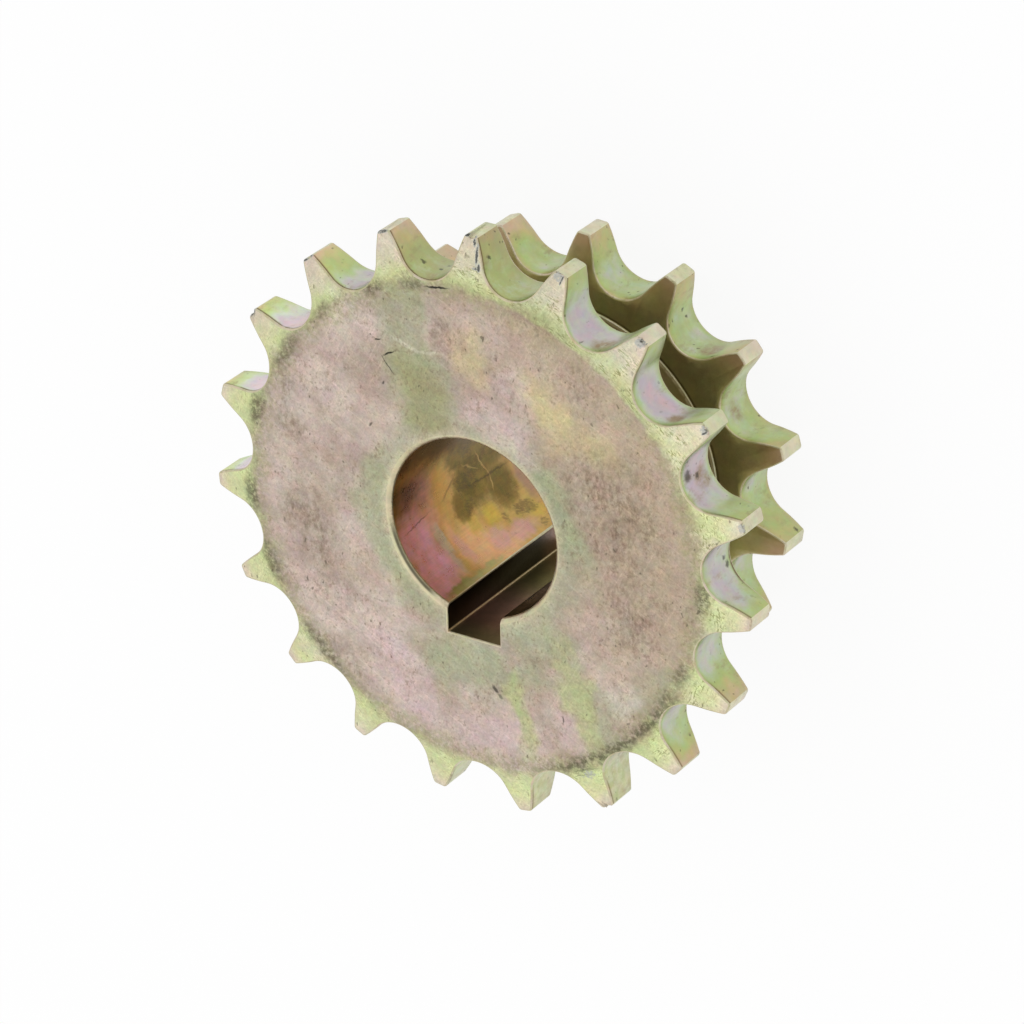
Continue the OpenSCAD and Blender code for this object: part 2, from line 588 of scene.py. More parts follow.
for number, sideways, reach, half_length, half_width, strength in KNOCKS:
    turn = tooth_turn(number)
    centre = (reach * math.cos(turn) + sideways * math.sin(turn),
              reach * math.sin(turn) - sideways * math.cos(turn),
              FACE - LEAN * (reach - RIM["large"]))
    oval = oval_at(wire, given["Spot"], centre, turn, (half_length, half_width, KNOCK_DEPTH))
    struck = wire.math("MAXIMUM", struck, wire.times(oval, strength))
rough = wire.noise(given["Spot"], 0.4, detail=4.0, roughness=0.65)
uneven = wire.math("ADD", struck, wire.math("MULTIPLY_ADD", rough, 1.6, -0.8))
wire.feed(out["Bare"], wire.times(wire.step(uneven, 0.25, 0.5), wire.step(struck, 0.05, 0.3)))
wire.feed(out["Black"], wire.times(wire.step(uneven, 0.7, 0.9), wire.step(struck, 0.3, 0.5)))
KNOCK = wire.tree
print("group", KNOCK.name, len(KNOCKS), "places")

# %% [markdown]
# ## Finishes
# Each finish starts from the same shader: a satin metal whose colour, roughness and fine relief come from
# the groups. It is nearly all metal, so a face deep in the groove mirrors the dark groove around it.

# %% Start and close a finish
METAL_SHARE = 0.95
UMBER = srgb(112, 94, 74)
SOOT = srgb(78, 74, 58)
BARE_STEEL = srgb(178, 180, 174)
BLACK = srgb(52, 54, 52)


def start_finish(name):
    """A material with its shader: (wiring, shader node, place sockets, grime sockets)."""
    material = bpy.data.materials.new(name)
    material.use_nodes = True
    wire = Wiring(material.node_tree)
    shader = material.node_tree.nodes["Principled BSDF"]
    shader.inputs["Metallic"].default_value = METAL_SHARE
    mesh.materials.append(material)
    place = wire.group(PLACE)
    return wire, shader, place, wire.group(GRIME, Spot=place["Spot"])


def knocked(wire, place, colour):
    """The colour with bare steel and black where the teeth were struck."""
    knock = wire.group(KNOCK, Spot=place["Spot"])
    colour = wire.mix(wire.times(knock["Bare"], KNOCK_SHARE), colour, BARE_STEEL)
    return wire.mix(wire.times(knock["Black"], KNOCK_SHARE), colour, BLACK)


def close_finish(wire, shader, colour, roughness, height, depth):
    """Feed the shader; the relief is as deep as the given millimetres."""
    bump = wire.node("ShaderNodeBump")
    bump.inputs["Distance"].default_value = depth * MM
    wire.feed(bump.inputs["Height"], height)
    wire.feed(shader.inputs["Base Color"], colour)
    wire.feed(shader.inputs["Roughness"], roughness)
    wire.feed(shader.inputs["Normal"], bump.outputs["Normal"])


# %% [markdown]
# ## Turned face: the film
# The flat face was handled most. Its film is thick and dull, a pinkish taupe that turns green round the bore
# and in a few streaks, and browner towards one side. The ground colour is noise, and ovals on a swayed spot
# put the casts where they are on the part, with outlines that waver as spilt liquid does.

# %% Turned face: the film
TAUPE = srgb(182, 164, 150)
ROSE = srgb(207, 190, 178)
TAN = srgb(178, 160, 136)
SAGE = srgb(168, 171, 140)
LIME = srgb(184, 192, 138)
STRAW = srgb(208, 192, 148)
OLIVE = srgb(160, 157, 116)
PEARL = srgb(206, 200, 182)
BLUSH = srgb(210, 188, 186)
LIP = srgb(204, 196, 164)

SAGE_PLACES = [(-10, 28, 8, 4, -81, 0.75), (-7, 19, 8, 5.5, -69, 0.9), (-15, 1, 8, 3.2, -90, 0.7),
               (-11.5, -8.5, 7, 3.2, -54, 0.7), (-1, -19.5, 9, 5, 3, 0.8), (12.5, 6.5, 10, 2.6, -62, 0.95),
               (11, -14.5, 6, 5, 0, 0.6), (9.6, -17.5, 4, 3.5, 0, 0.6),
               (19.5, -22, 4.5, 3, -60, 0.75), (27, -16, 4, 3, 55, 0.55)]
LIME_PLACES = [(7, -25, 8, 1.6, -81, 0.8), (16, -21, 9, 2.6, -67, 0.7)]
OLIVE_PLACES = [(-7, 17.5, 7, 4.5, -69, 0.7)]
PEARL_PLACES = [(22.6, -18.9, 3.6, 2.6, 50, 0.75)]
STRAW_PLACES = [(12.5, 19, 6, 3.5, -56, 0.8), (0.5, 24, 4, 2.6, -60, 0.6), (19, 16.5, 4, 3.5, 0, 0.6)]
BLUSH_PLACES = [(5, 15, 5.5, 2.8, -23, 0.7), (-10.5, -25, 8, 3.6, -60, 0.7), (2, -29.5, 7, 3, -6, 0.6),
                (14.5, -26, 4, 2.4, -46, 0.6), (7, 21, 4, 2.6, -70, 0.4)]
FACE_CASTS = [(SAGE, SAGE_PLACES), (OLIVE, OLIVE_PLACES), (LIME, LIME_PLACES),
              (STRAW, STRAW_PLACES), (BLUSH, BLUSH_PLACES), (PEARL, PEARL_PLACES)]

wire, shader, place, grime = start_finish("turned_face")
swayed = wire.sway(place["Spot"], 5.0, 7.0)
colour = wire.mix(wire.step(grime["Cloud"], 0.35, 0.65), TAUPE, ROSE)
sideways = wire.math("MULTIPLY_ADD", wire.split(swayed)["X"], 0.9, wire.times(wire.split(swayed)["Y"], 0.4))
colour = wire.mix(wire.step(sideways, 0.0, 26.0, 0.0, 0.75), colour, TAN)
ring = wire.step(place["Reach"], BORE_RADIUS + 6, BORE_RADIUS + 1.5)
colour = wire.mix(wire.times(ring, 0.6), colour, SAGE)
for tone, places in FACE_CASTS:
    colour = wire.mix(ovals(wire, swayed, FACE, places), colour, tone)
lip = wire.step(place["Reach"], BORE_RADIUS + 1.9, BORE_RADIUS + 0.4)
face_film = wire.mix(wire.times(lip, 0.75), colour, LIP)
print("film of the turned face:", sum(len(places) for tone, places in FACE_CASTS), "casts")

# %% [markdown]
# ## Turned face: the tooth sides
# On the leaning tooth sides the film is thin and bright, yellow green at the root and cream at the tip, with
# dark strokes of the turning tool. A ramp over the distance from the rim gives the film, and the strokes are
# noise drawn out round the axis and across it. A plain step at the rim radius would look drawn, so noise
# moves the border with the flat face, less so on one side, where the film is fresher.

# %% Turned face: the tooth sides
TOOTH_DEPTH = TIP["large"] - RIM["large"]
SIDE_STOPS = [(0.0, srgb(196, 200, 150)), (0.3, srgb(209, 216, 162)), (0.7, srgb(216, 217, 170)),
              (0.9, srgb(222, 210, 184)), (1.0, srgb(206, 196, 176))]
CREAM = srgb(224, 212, 192)
FAWN = srgb(214, 202, 184)
MOSS = srgb(134, 138, 86)

border = wire.math("MULTIPLY_ADD", wire.noise(place["Spot"], 2.4, detail=4.0, roughness=0.6), 5.0, -2.5)
axes = wire.split(place["Spot"])
toward_corner = wire.math("MULTIPLY_ADD", axes["X"], 0.5, wire.times(axes["Y"], 0.87))
fresh = wire.step(toward_corner, 26.0, 33.0)
calm = wire.math("MULTIPLY_ADD", fresh, -0.7, 1.0)
moved = wire.math("MULTIPLY_ADD", fresh, 0.8, place["Out"])
outward = wire.math("ADD", moved, wire.times(border, calm))
side_film = wire.ramp(wire.math("DIVIDE", place["Out"], TOOTH_DEPTH), SIDE_STOPS)
side_film = wire.mix(wire.step(grime["Cloud"], 0.5, 0.68, 0.0, 0.5), side_film, CREAM)
upper = wire.times(wire.step(axes["Y"], 12.0, 30.0), wire.step(outward, 1.0, 4.0))
side_film = wire.mix(wire.times(upper, 0.8), side_film, FAWN)
around = wire.join(wire.times(place["Turn"], 40.0), wire.times(place["Reach"], 4.5), 0.0)
tool_strokes = wire.noise(around, 1.0, detail=2.0)
cross_strokes = wire.noise(wire.stretch(place["Spot"], (1.4, 5.0, 1), turn=35), 1.0, detail=1.0)
strokes = wire.math("MAXIMUM", tool_strokes, wire.math("SUBTRACT", cross_strokes, 0.04))
rightward = wire.math("MAXIMUM", wire.step(axes["X"], 18.0, 32.0), fresh)
strokes = wire.step(wire.math("MULTIPLY_ADD", rightward, 0.05, strokes), 0.58, 0.68)
strokes = wire.times(strokes, wire.step(place["Out"], TOOTH_DEPTH * 0.85, TOOTH_DEPTH * 0.4))
patchy = wire.step(grime["Patch"], 0.42, 0.58)
strokes = wire.times(strokes, patchy, wire.math("MULTIPLY_ADD", rightward, 0.3, 0.5))
side_film = wire.mix(strokes, side_film, MOSS)
print("film of the tooth sides:", len(SIDE_STOPS), "tones")

# %% [markdown]
# ## Turned face: the rim
# The two films meet along the rim in a mottled olive band, where soot has settled in an uneven line and in
# the tooth roots. On the fresher side the band is weaker. A line of even width would look painted on, so one
# noise moves the soot line in and out, and a finer one lets band and soot through in patches.

# %% Turned face: the rim
SOOT_PLACES = [(22, -26.5, 17, 5, 40, 1.0), (-24, -24, 5, 3, -45, 0.9), (-29, 19.5, 4, 3, 55, 0.8),
               (-14.5, 31.5, 2, 2, 20, 1.0), (-22.8, 26.5, 2, 2, 40, 0.8), (-8.5, 33.2, 2, 1.6, 0, 0.8)]
ROOT_PLACES = [(-33.2, 9.2, 2.6, 1.3, 75, 1.0), (-34.6, -3.4, 2.8, 1.3, 97, 1.0),
               (-31.8, -12.6, 3.2, 1.4, 117, 0.9), (34.3, -0.6, 2.2, 1.2, 85, 1.0),
               (31.2, -12.4, 2.0, 1.2, 60, 0.8), (29, -17, 2.0, 1.4, 55, 0.8)]

colour = wire.mix(wire.step(wire.math("DIVIDE", outward, calm), -1.2, 1.2), face_film, side_film)
mottle = wire.noise(place["Spot"], 0.7, detail=4.0, roughness=0.7)
band = wire.times(wire.step(wire.math("ABSOLUTE", wire.math("ADD", outward, 0.6)), 2.6, 0.4),
                  wire.step(mottle, 0.36, 0.6, 0.2, 1.0))
band = wire.times(band, wire.math("MULTIPLY_ADD", fresh, -0.35, 0.52))
colour = wire.mix(band, colour, OLIVE)
uneven = wire.math("MULTIPLY_ADD", wire.noise(place["Spot"], 1.5, detail=4.0, roughness=0.65), 2.8, -1.4)
near_rim = wire.math("ABSOLUTE", wire.math("ADD", wire.math("ADD", place["Out"], uneven), 0.3))
sooty = wire.math("MAXIMUM", ovals(wire, place["Spot"], FACE, SOOT_PLACES), 0.12)
rooted = ovals(wire, wire.sway(place["Spot"], 1.0, 2.0), FACE, ROOT_PLACES)
soot = wire.math("MAXIMUM", wire.times(wire.step(near_rim, 1.4, 0.1), sooty), wire.times(rooted, 0.9))
soot = wire.times(soot, wire.step(mottle, 0.32, 0.6, 0.2, 0.9))
colour = wire.mix(wire.times(soot, 0.85), colour, SOOT)
print("rim of the turned face:", len(SOOT_PLACES) + len(ROOT_PLACES), "places of soot")

# %% [markdown]
# ## Turned face: dirt and scratches
# Brown dirt is rubbed into the fine turning marks, most of all on one side, and there are a few scratches.
# Streaks come from a noise that is drawn out along one axis, a hair scratch from one drawn out much further.

# %% Turned face: dirt and scratches
UMBER_PLACES = [(22, 7, 11, 7, -59, 0.9), (24, -4.5, 8, 5, -80, 0.78), (-28, 11.5, 7, 2.4, -92, 0.8),
                (-25, -5.5, 6, 4, -57, 0.85), (-20, -24.5, 6, 2, -41, 0.8), (10.5, 32, 6, 2.4, -13, 0.6),
                (17, 25, 3, 2.4, -35, 0.6), (-4, 27.6, 2.6, 2, 0, 0.8), (18, 10, 5, 4, 0, 0.9)]
PALE = srgb(204, 200, 178)
PALE_PLACES = [(-9.4, 24, 2.4, 0.35, -18, 0.6), (-5.8, 23.7, 2.2, 0.3, 8, 0.5),
               (5.8, 13.6, 1.8, 1.1, -25, 0.7)]
SCRATCHES = [(-12, 22.2, 1.1, 0.14, 28, 1.0), (-13.7, 23.8, 0.5, 0.12, 20, 0.9),
             (-12.3, 20.6, 1.6, 0.1, -50, 0.7), (-4.5, 33.1, 1.9, 0.16, 8, 1.0),
             (3.2, -22.4, 0.6, 0.28, -55, 0.8), (3.9, -23.2, 0.5, 0.2, -40, 0.6),
             (13.5, -24, 0.5, 0.15, -80, 0.7), (-13, 17.8, 0.3, 0.2, 60, 0.8),
             (-15.1, 11.4, 0.4, 0.2, 50, 0.7), (16.4, -30.7, 1.7, 0.1, 22, 0.45),
             (17.1, -30.3, 1.6, 0.09, 20, 0.4), (16.2, -31.5, 1.2, 0.1, 27, 0.45),
             (17.4, -31.1, 0.9, 0.09, 16, 0.4)]
INK = srgb(58, 56, 48)

streaks = wire.noise(wire.stretch(place["Spot"], (1.3, 0.85, 1)), 0.8, detail=5.0, roughness=0.65)
clumps = wire.noise(wire.stretch(place["Spot"], (1.3, 0.7, 1)), 3.0, detail=3.0)
dirt = wire.times(wire.step(streaks, 0.36, 0.68, 0.14, 1.0), wire.step(clumps, 0.34, 0.6, 0.35, 1.0))
dirt = wire.times(dirt, ovals(wire, swayed, FACE, UMBER_PLACES), 0.8)
colour = wire.mix(dirt, colour, UMBER)
colour = wire.mix(ovals(wire, place["Spot"], FACE, PALE_PLACES), colour, PALE)
on_face = wire.step(outward, 1.5, -0.5, 0.35, 1.0)
colour = wire.mix(wire.times(grime["Soil"], on_face, 0.55), colour, UMBER)
colour = wire.mix(wire.times(grime["Specks"], 0.6), colour, SOOT)
freckles = wire.step(wire.noise(place["Spot"], 0.55, detail=2.0, roughness=0.6), 0.52, 0.7)
freckles = wire.times(freckles, wire.step(grime["Patch"], 0.38, 0.6), on_face, 0.4)
colour = wire.mix(freckles, colour, UMBER)
one_way = wire.noise(wire.stretch(place["Spot"], (0.06, 5.0, 1), turn=28), 1.0, detail=0.0)
other_way = wire.noise(wire.stretch(place["Spot"], (0.05, 6.0, 1), turn=-62), 1.0, detail=0.0)
hairs = wire.math("MAXIMUM", one_way, other_way)
colour = wire.shade(colour, wire.step(hairs, 0.7, 0.76, 1.0, 1.1))
wavering = wire.sway(place["Spot"], 0.8, 0.5)
colour = wire.mix(ovals(wire, wavering, FACE, SCRATCHES), colour, INK)
colour = wire.tinge(colour, place["Spot"], 3.0, 0.18)
colour = wire.tinge(colour, place["Spot"], 0.9, 0.18)
colour = wire.shade(colour, wire.spread(grime["Patch"], 0.87, 1.09))
colour = wire.shade(colour, wire.spread(grime["Grain"], 0.9, 1.08))
colour = knocked(wire, place, colour)
close_finish(wire, shader, colour, wire.spread(grime["Patch"], 0.38, 0.5), grime["Grain"], 0.02)
print("finish turned_face")

# %% [markdown]
# ## Tooth gap: the film
# The hob left the gaps smooth and the film there shows its colours best: lavender at the root, then blue
# grey, green and olive up the flanks, and tan along the rims. Thickness falls with the climb up the flank
# and towards both ends of the gap, and noise shifts it. The gaps differ round the part too: on the far left
# the film is thicker and a painted reflection of the white ground lightens it, the two at the top are olive
# and the lowest is scuffed.

# %% Tooth gap: the film
SMEAR = srgb(154, 132, 102)
SCUFF_GREEN = srgb(192, 193, 148)
SCUFF_CREAM = srgb(209, 209, 174)
OLIVE_THICKNESS = 0.32

wire, shader, place, grime = start_finish("tooth_gap")
rise = wire.math("DIVIDE", wire.math("SUBTRACT", place["Out"], RIM_MARGIN), TOOTH_DEPTH - RIM_MARGIN)
side = wire.math("POWER", wire.math("DIVIDE", place["Off"], ROW_WIDTH / 2), 4.0)
drift = wire.math("MULTIPLY_ADD", wire.noise(place["Spot"], 5.0, detail=4.0, roughness=0.6), 1.0, -0.5)
drain = wire.along(place["Spot"], (0.9, -0.45))
slope = wire.step(drain, -36.0, -4.0, -0.95, -0.38)
low_right = wire.along(place["Spot"], (0.6, -0.8))
slope = wire.math("ADD", slope, wire.step(low_right, 24.0, 34.0, 0.0, -0.3))
large_row = wire.math("GREATER_THAN", place["Height"], FACE / 2)
thickness = wire.math("MULTIPLY_ADD", rise, slope, wire.math("MULTIPLY_ADD", large_row, 0.2, 0.6))
thickness = wire.math("ADD", wire.math("MULTIPLY_ADD", side, -0.5, thickness), drift)
axes = wire.split(place["Spot"])
far_left_film_and_reflection = wire.times(wire.step(axes["X"], -14.0, -34.0), large_row)
thickness = wire.math("MULTIPLY_ADD", far_left_film_and_reflection, 0.42, thickness)
on_top = wire.times(wire.step(wire.math("ABSOLUTE", axes["X"]), 13.0, 9.0),
                    wire.step(axes["Y"], 27.0, 31.0), large_row)
too_thick = wire.math("MAXIMUM", wire.math("SUBTRACT", thickness, OLIVE_THICKNESS), 0.0)
thinned = wire.times(on_top, wire.step(grime["Patch"], 0.36, 0.64, 0.95, 0.45))
thickness = wire.math("SUBTRACT", thickness, wire.times(too_thick, thinned))
colour = wire.group(FILM, Thickness=thickness)["Color"]
# Painted reflection: the far-left gaps are lightened as if they mirrored the white ground at a grazing
# angle.
colour = wire.shade(colour, wire.math("MULTIPLY_ADD", far_left_film_and_reflection, 0.36, 1.0))
colour = wire.mix(wire.times(on_top, wire.step(grime["Cloud"], 0.38, 0.62, 0.12, 0.4)), colour, SMEAR)
lowest = wire.times(wire.step(axes["Y"], -24.0, -31.0), wire.step(axes["X"], 26.0, 21.0), large_row)
scuffed = wire.noise(place["Spot"], 1.2, detail=5.0, roughness=0.7)
scuffed = wire.mix(wire.step(scuffed, 0.4, 0.62), SCUFF_GREEN, SCUFF_CREAM)
colour = wire.mix(wire.times(lowest, 0.8), colour, scuffed)
colour = wire.tinge(colour, place["Spot"], 1.5, 0.3)
colour = wire.shade(colour, wire.spread(grime["Patch"], 0.94, 1.05))
print("film of the tooth gaps:", len(FILM_STOPS), "tones")

# %% [markdown]
# ## Tooth gap: lines, smears and spots
# Dirt dried to a brown line along the front rim, most of all on the upper left and high on the flanks, and
# brown smears and small dark spots lie on top. Along the rear rim of one gap the same brown is painted
# shadow, where the groove behind the front row is in shade. The line could be faces of its own, but the lean
# of the tooth sides gives the distance to the rim at every spot. Smears and spots are soft balls, since a
# gap isn't level.

# %% Tooth gap: lines, smears and spots
BROWN_LINE_AND_SHADOW = srgb(106, 84, 58)
SMEAR_PLACES = [(19.8, 19.2, 3.7, 1.8), (18.8, 29.6, 28.3, 1.7), (29, 21.8, 28, 1.2),
                (31.2, 13.5, 26, 1.6), (24, 12, 4, 1.4)]
REAR_SHADOWS = [(35.5, 1.2, 23.5, 3.2)]
GAP_SPOTS = [(31, 14.8, 28.9, 0.8), (31.2, 14.1, 26.8, 0.4), (15.1, 23.7, 3.1, 0.35),
             (15.2, 22.4, 2.4, 0.3), (31.8, -4.1, 2.4, 0.28), (34.1, 2.7, 25.2, 0.35),
             (34.4, 1.6, 24.8, 0.45), (1.9, 37.7, 28.3, 0.4), (-8.7, 34.4, 27.2, 0.35),
             (-6.2, 33.7, 26.9, 0.3), (-5.8, 33.7, 25.5, 0.25), (-14.4, 31.6, 30, 0.6)]

half_width = wire.math("MULTIPLY_ADD", place["Out"], -LEAN, ROW_WIDTH / 2 - EDGE_ROUNDING)
to_rim = wire.math("SUBTRACT", half_width, place["Off"])
upper_left = wire.along(place["Spot"], (-0.6, 0.8))
lined = wire.math("MAXIMUM", wire.step(upper_left, 14.0, 30.0), wire.step(rise, 0.3, 0.65, 0.1, 0.8))
in_front = wire.math("GREATER_THAN", place["Height"], MIDDLE["large"])
line = wire.times(wire.step(to_rim, 0.42, 0.08), in_front, lined)
# Painted shadow: a brown line along the rear rim of one gap, where the groove behind is in shade.
rear_shadow = wire.times(wire.step(to_rim, 0.5, 0.1), blots(wire, place["Spot"], REAR_SHADOWS))
line = wire.math("MAXIMUM", line, rear_shadow)
line = wire.times(line, wire.step(grime["Patch"], 0.3, 0.5, 0.35, 0.9))
colour = wire.mix(line, colour, BROWN_LINE_AND_SHADOW)
colour = wire.mix(wire.times(grime["Specks"], 0.7), colour, SOOT)
smear = wire.noise(wire.stretch(place["Spot"], (1, 1, 0.5)), 2.0, detail=5.0, roughness=0.7)
swayed = wire.sway(place["Spot"], 0.6, 1.1)
smeared = wire.step(smear, 0.54, 0.72, 0.0, 0.5)
placed = wire.times(blots(wire, swayed, SMEAR_PLACES), wire.step(smear, 0.25, 0.65))
colour = wire.mix(wire.math("MAXIMUM", smeared, placed), colour, SMEAR)
colour = wire.mix(wire.times(blots(wire, swayed, GAP_SPOTS), 0.75), colour, INK)
colour = knocked(wire, place, colour)
close_finish(wire, shader, colour, wire.spread(grime["Patch"], 0.28, 0.4), grime["Grain"], 0.01)
print("finish tooth_gap")

# %% [markdown]
# ## Tooth tip
# The tips are what is left of the turned blank: narrow lands with a thin cream film, rubbed brown in places.
# They could share the turned face's finish, but its dirt belongs to the flat face, so a plain mix of two
# tones does here. The knocks run on over the tips from the tooth sides.

# %% Tooth tip
TIP_CREAM = srgb(222, 214, 187)
TIP_GREEN = srgb(212, 213, 174)

wire, shader, place, grime = start_finish("tooth_tip")
colour = wire.mix(wire.step(grime["Cloud"], 0.4, 0.66), TIP_CREAM, TIP_GREEN)
colour = wire.tinge(colour, place["Spot"], 1.5, 0.3)
colour = wire.mix(wire.times(grime["Soil"], 0.3), colour, UMBER)
colour = wire.shade(colour, wire.spread(grime["Patch"], 0.92, 1.06))
colour = knocked(wire, place, colour)
close_finish(wire, shader, colour, wire.spread(grime["Grain"], 0.36, 0.46), grime["Grain"], 0.015)
print("finish tooth_tip")

# %% [markdown]
# ## Groove
# The groove between the rows is clean but sees little light. The fillets at the core are darkened to brown
# as painted shade, with a thin painted highlight in each, and towards the tips a darker tan is painted shade
# of the groove. These marks could be ovals, but they all run right round the part, so smooth steps over the
# distance from the axis are enough.

# %% Groove
GROOVE_GREEN = srgb(192, 190, 138)
GROOVE_TAN = srgb(182, 170, 128)
FILLET_SHADE = srgb(112, 102, 70)
FILLET_HIGHLIGHT = srgb(226, 222, 204)
FILLET_LINE = CORE_RADIUS + 0.32
GROOVE_TIP_SHADE = srgb(164, 140, 108)

wire, shader, place, grime = start_finish("groove")
colour = wire.mix(wire.step(grime["Cloud"], 0.35, 0.65), GROOVE_GREEN, GROOVE_TAN)
# Painted shade: the fillets at the core are darkened to brown.
fillet = wire.step(place["Reach"], CORE_RADIUS + 0.9, CORE_RADIUS + 0.4)
colour = wire.mix(fillet, colour, FILLET_SHADE)
# Painted highlight: a thin bright line along each fillet.
off_highlight = wire.math("ABSOLUTE", wire.math("SUBTRACT", place["Reach"], FILLET_LINE))
colour = wire.mix(wire.step(off_highlight, 0.12, 0.04), colour, FILLET_HIGHLIGHT)
# Painted shade: a darker tan towards the tips, where the groove lies in shade.
colour = wire.mix(wire.step(place["Out"], 1.5, TOOTH_DEPTH), colour, GROOVE_TIP_SHADE)
colour = wire.tinge(colour, place["Spot"], 2.5, 0.3)
colour = wire.shade(colour, wire.spread(grime["Patch"], 0.9, 1.06))
close_finish(wire, shader, colour, wire.spread(grime["Grain"], 0.3, 0.4), grime["Grain"], 0.01)
print("finish groove")

# %% [markdown]
# ## Bore wall
# The reamed bore holds the thickest film: gold and orange, pink towards the front, green along the keyway,
# with an olive stain where fluid stood. The wall is unrolled into arc length and height, so the places are
# plain ovals. A dried stain has a ragged outline, so noise is added to the oval before its edge is drawn.

# %% Bore wall: the film
GOLD = srgb(198, 156, 94)
OCHRE = srgb(196, 166, 92)
PEACH = srgb(226, 176, 128)
BORE_CASTS = [
    (srgb(176, 146, 92), [(-17, 9, 8, 7, 0, 0.8)]),
    (srgb(214, 166, 88), [(-18.6, 20.6, 2.4, 3, 0, 0.95)]),
    (srgb(134, 106, 70), [(-19.5, 3, 4, 4, 0, 0.9)]),
    (srgb(170, 134, 110), [(-12, 1.8, 3.6, 1.8, 0, 0.9)]),
    (srgb(226, 172, 156), [(-18.5, 25, 4, 4, 0, 0.9), (-15, 23.5, 2.4, 2.4, 0, 0.8)]),
    (srgb(238, 186, 222), [(-13.4, 27.5, 4, 4, 0, 1), (-9, 27, 4, 4, 0, 1), (-6.4, 28.5, 2.4, 3, 0, 1)]),
    (PEACH, [(-8, 17.5, 3.6, 4, 0, 1), (-5.2, 14.2, 1.6, 3.5, 0, 0.9), (-10, 20.5, 4, 1.4, 0, 0.8)]),
    (srgb(212, 162, 152), [(-7.2, 13.2, 1.8, 2.4, 0, 0.8), (-6.3, 9.2, 1.6, 3.2, 0, 0.8),
                           (-9, 20.2, 2.6, 1, 0, 0.6)]),
    (srgb(202, 172, 80), [(-10.3, 11.6, 1.8, 1.8, 0, 1), (-10.6, 15.6, 1.6, 1.6, 0, 0.7),
                          (-7.2, 4, 1.2, 1.6, 0, 0.8)]),
    (srgb(196, 188, 170), [(-11.4, 22.7, 2.8, 0.9, 0, 0.7), (-8, 22.9, 2.2, 0.8, 0, 0.55)]),
    (srgb(168, 168, 116), [(-4.7, 25, 0.9, 5, 0, 1), (-4.8, 18.4, 0.6, 3, 0, 0.7)])]

wire, shader, place, grime = start_finish("bore_wall")
arc = wire.times(place["Turn"], BORE_RADIUS)
wall = wire.join(arc, place["Height"], 0.0)
swayed = wire.sway(wall, 1.4, 2.0)
colour = wire.mix(wire.step(wire.noise(place["Spot"], 5.0), 0.35, 0.65), GOLD, OCHRE)
for tone, places in BORE_CASTS:
    colour = wire.mix(ovals(wire, swayed, 0.0, places), colour, tone)
bore_film = colour
print("film of the bore wall:", len(BORE_CASTS), "tones")

# %% [markdown]
# ## Bore wall: stains and lines
# Over the film lie the olive stain, a few dark blots, dark scratches and pale veins. Far from the keyway the
# wall is darkened to brown as painted shade, for the dark that it mirrors there, and the narrow strip on the
# keyway's other side is dark. Each could be a texture painted by hand, but ovals on the unrolled wall stay
# easy to move, and noise breaks up their outlines.

# %% Bore wall: stains and lines
STAIN_DARK = srgb(96, 82, 38)
STAIN_LIGHT = srgb(130, 110, 54)
BLOT = srgb(90, 76, 54)
SCRATCH_BROWN = srgb(84, 70, 46)
VEIN = srgb(204, 168, 104)
FAR_SHADE = srgb(108, 86, 52)
STRIP_BROWN = srgb(44, 34, 22)
OLIVE_STAINS = [(-16.6, 12, 4.8, 4.8, 0, 1), (-21, 13, 4, 5, 0, 1), (-13, 7, 3.6, 3.6, 0, 0.85),
                (-19, 7, 4, 4, 0, 0.9), (-13.6, 15.8, 2.6, 2.6, 0, 0.8)]
DARK_STAINS = [(-8.6, 5.4, 1.2, 2.4, 12, 0.8), (-8.9, 9.8, 0.8, 0.9, 0, 0.6), (-5.3, 5, 0.6, 1.1, 0, 0.6),
               (-16.4, 13.5, 1.6, 3.4, 0, 0.6), (-13.2, 14.6, 1.4, 1.4, 0, 0.5),
               (-21, 12.5, 1.6, 3.6, 0, 0.6)]
DARK_LINES = [(-15.1, 8.8, 5, 0.16, 92, 0.6), (-15.2, 25.7, 3, 0.13, 83, 0.5),
              (-16.8, 17.5, 2.2, 0.2, 60, 0.4)]
PALE_LINES = [(-17, 9.3, 2.4, 0.14, -28, 0.5), (-14, 8.5, 1.2, 0.14, 15, 0.5),
              (-17.6, 12, 0.12, 2, 30, 0.35)]


def ragged(wire, mask, rough, amount):
    """The mask with the broken outline of a stain: rough is a noise from 0 to 1."""
    uneven = wire.math("ADD", mask, wire.math("MULTIPLY_ADD", rough, amount, -amount / 2))
    return wire.times(wire.step(uneven, 0.15, 0.9), wire.step(mask, 0.0, 0.3))


rough = wire.noise(wall, 2.4, detail=6.0, roughness=0.72)
mottled = wire.mix(wire.step(rough, 0.36, 0.62), STAIN_DARK, STAIN_LIGHT)
stain = ragged(wire, ovals(wire, swayed, 0.0, OLIVE_STAINS), rough, 1.3)
colour = wire.mix(wire.times(stain, 0.92), bore_film, mottled)
torn = wire.noise(wire.stretch(wall, (2.2, 0.7, 1), turn=-20), 0.6, detail=5.0, roughness=0.75)
blotted = ragged(wire, ovals(wire, swayed, 0.0, DARK_STAINS), torn, 2.2)
colour = wire.mix(wire.times(blotted, 0.6), colour, BLOT)
wavering = wire.sway(wall, 1.0, 0.7)
colour = wire.mix(ovals(wire, wavering, 0.0, DARK_LINES), colour, SCRATCH_BROWN)
colour = wire.mix(ovals(wire, wavering, 0.0, PALE_LINES), colour, VEIN)
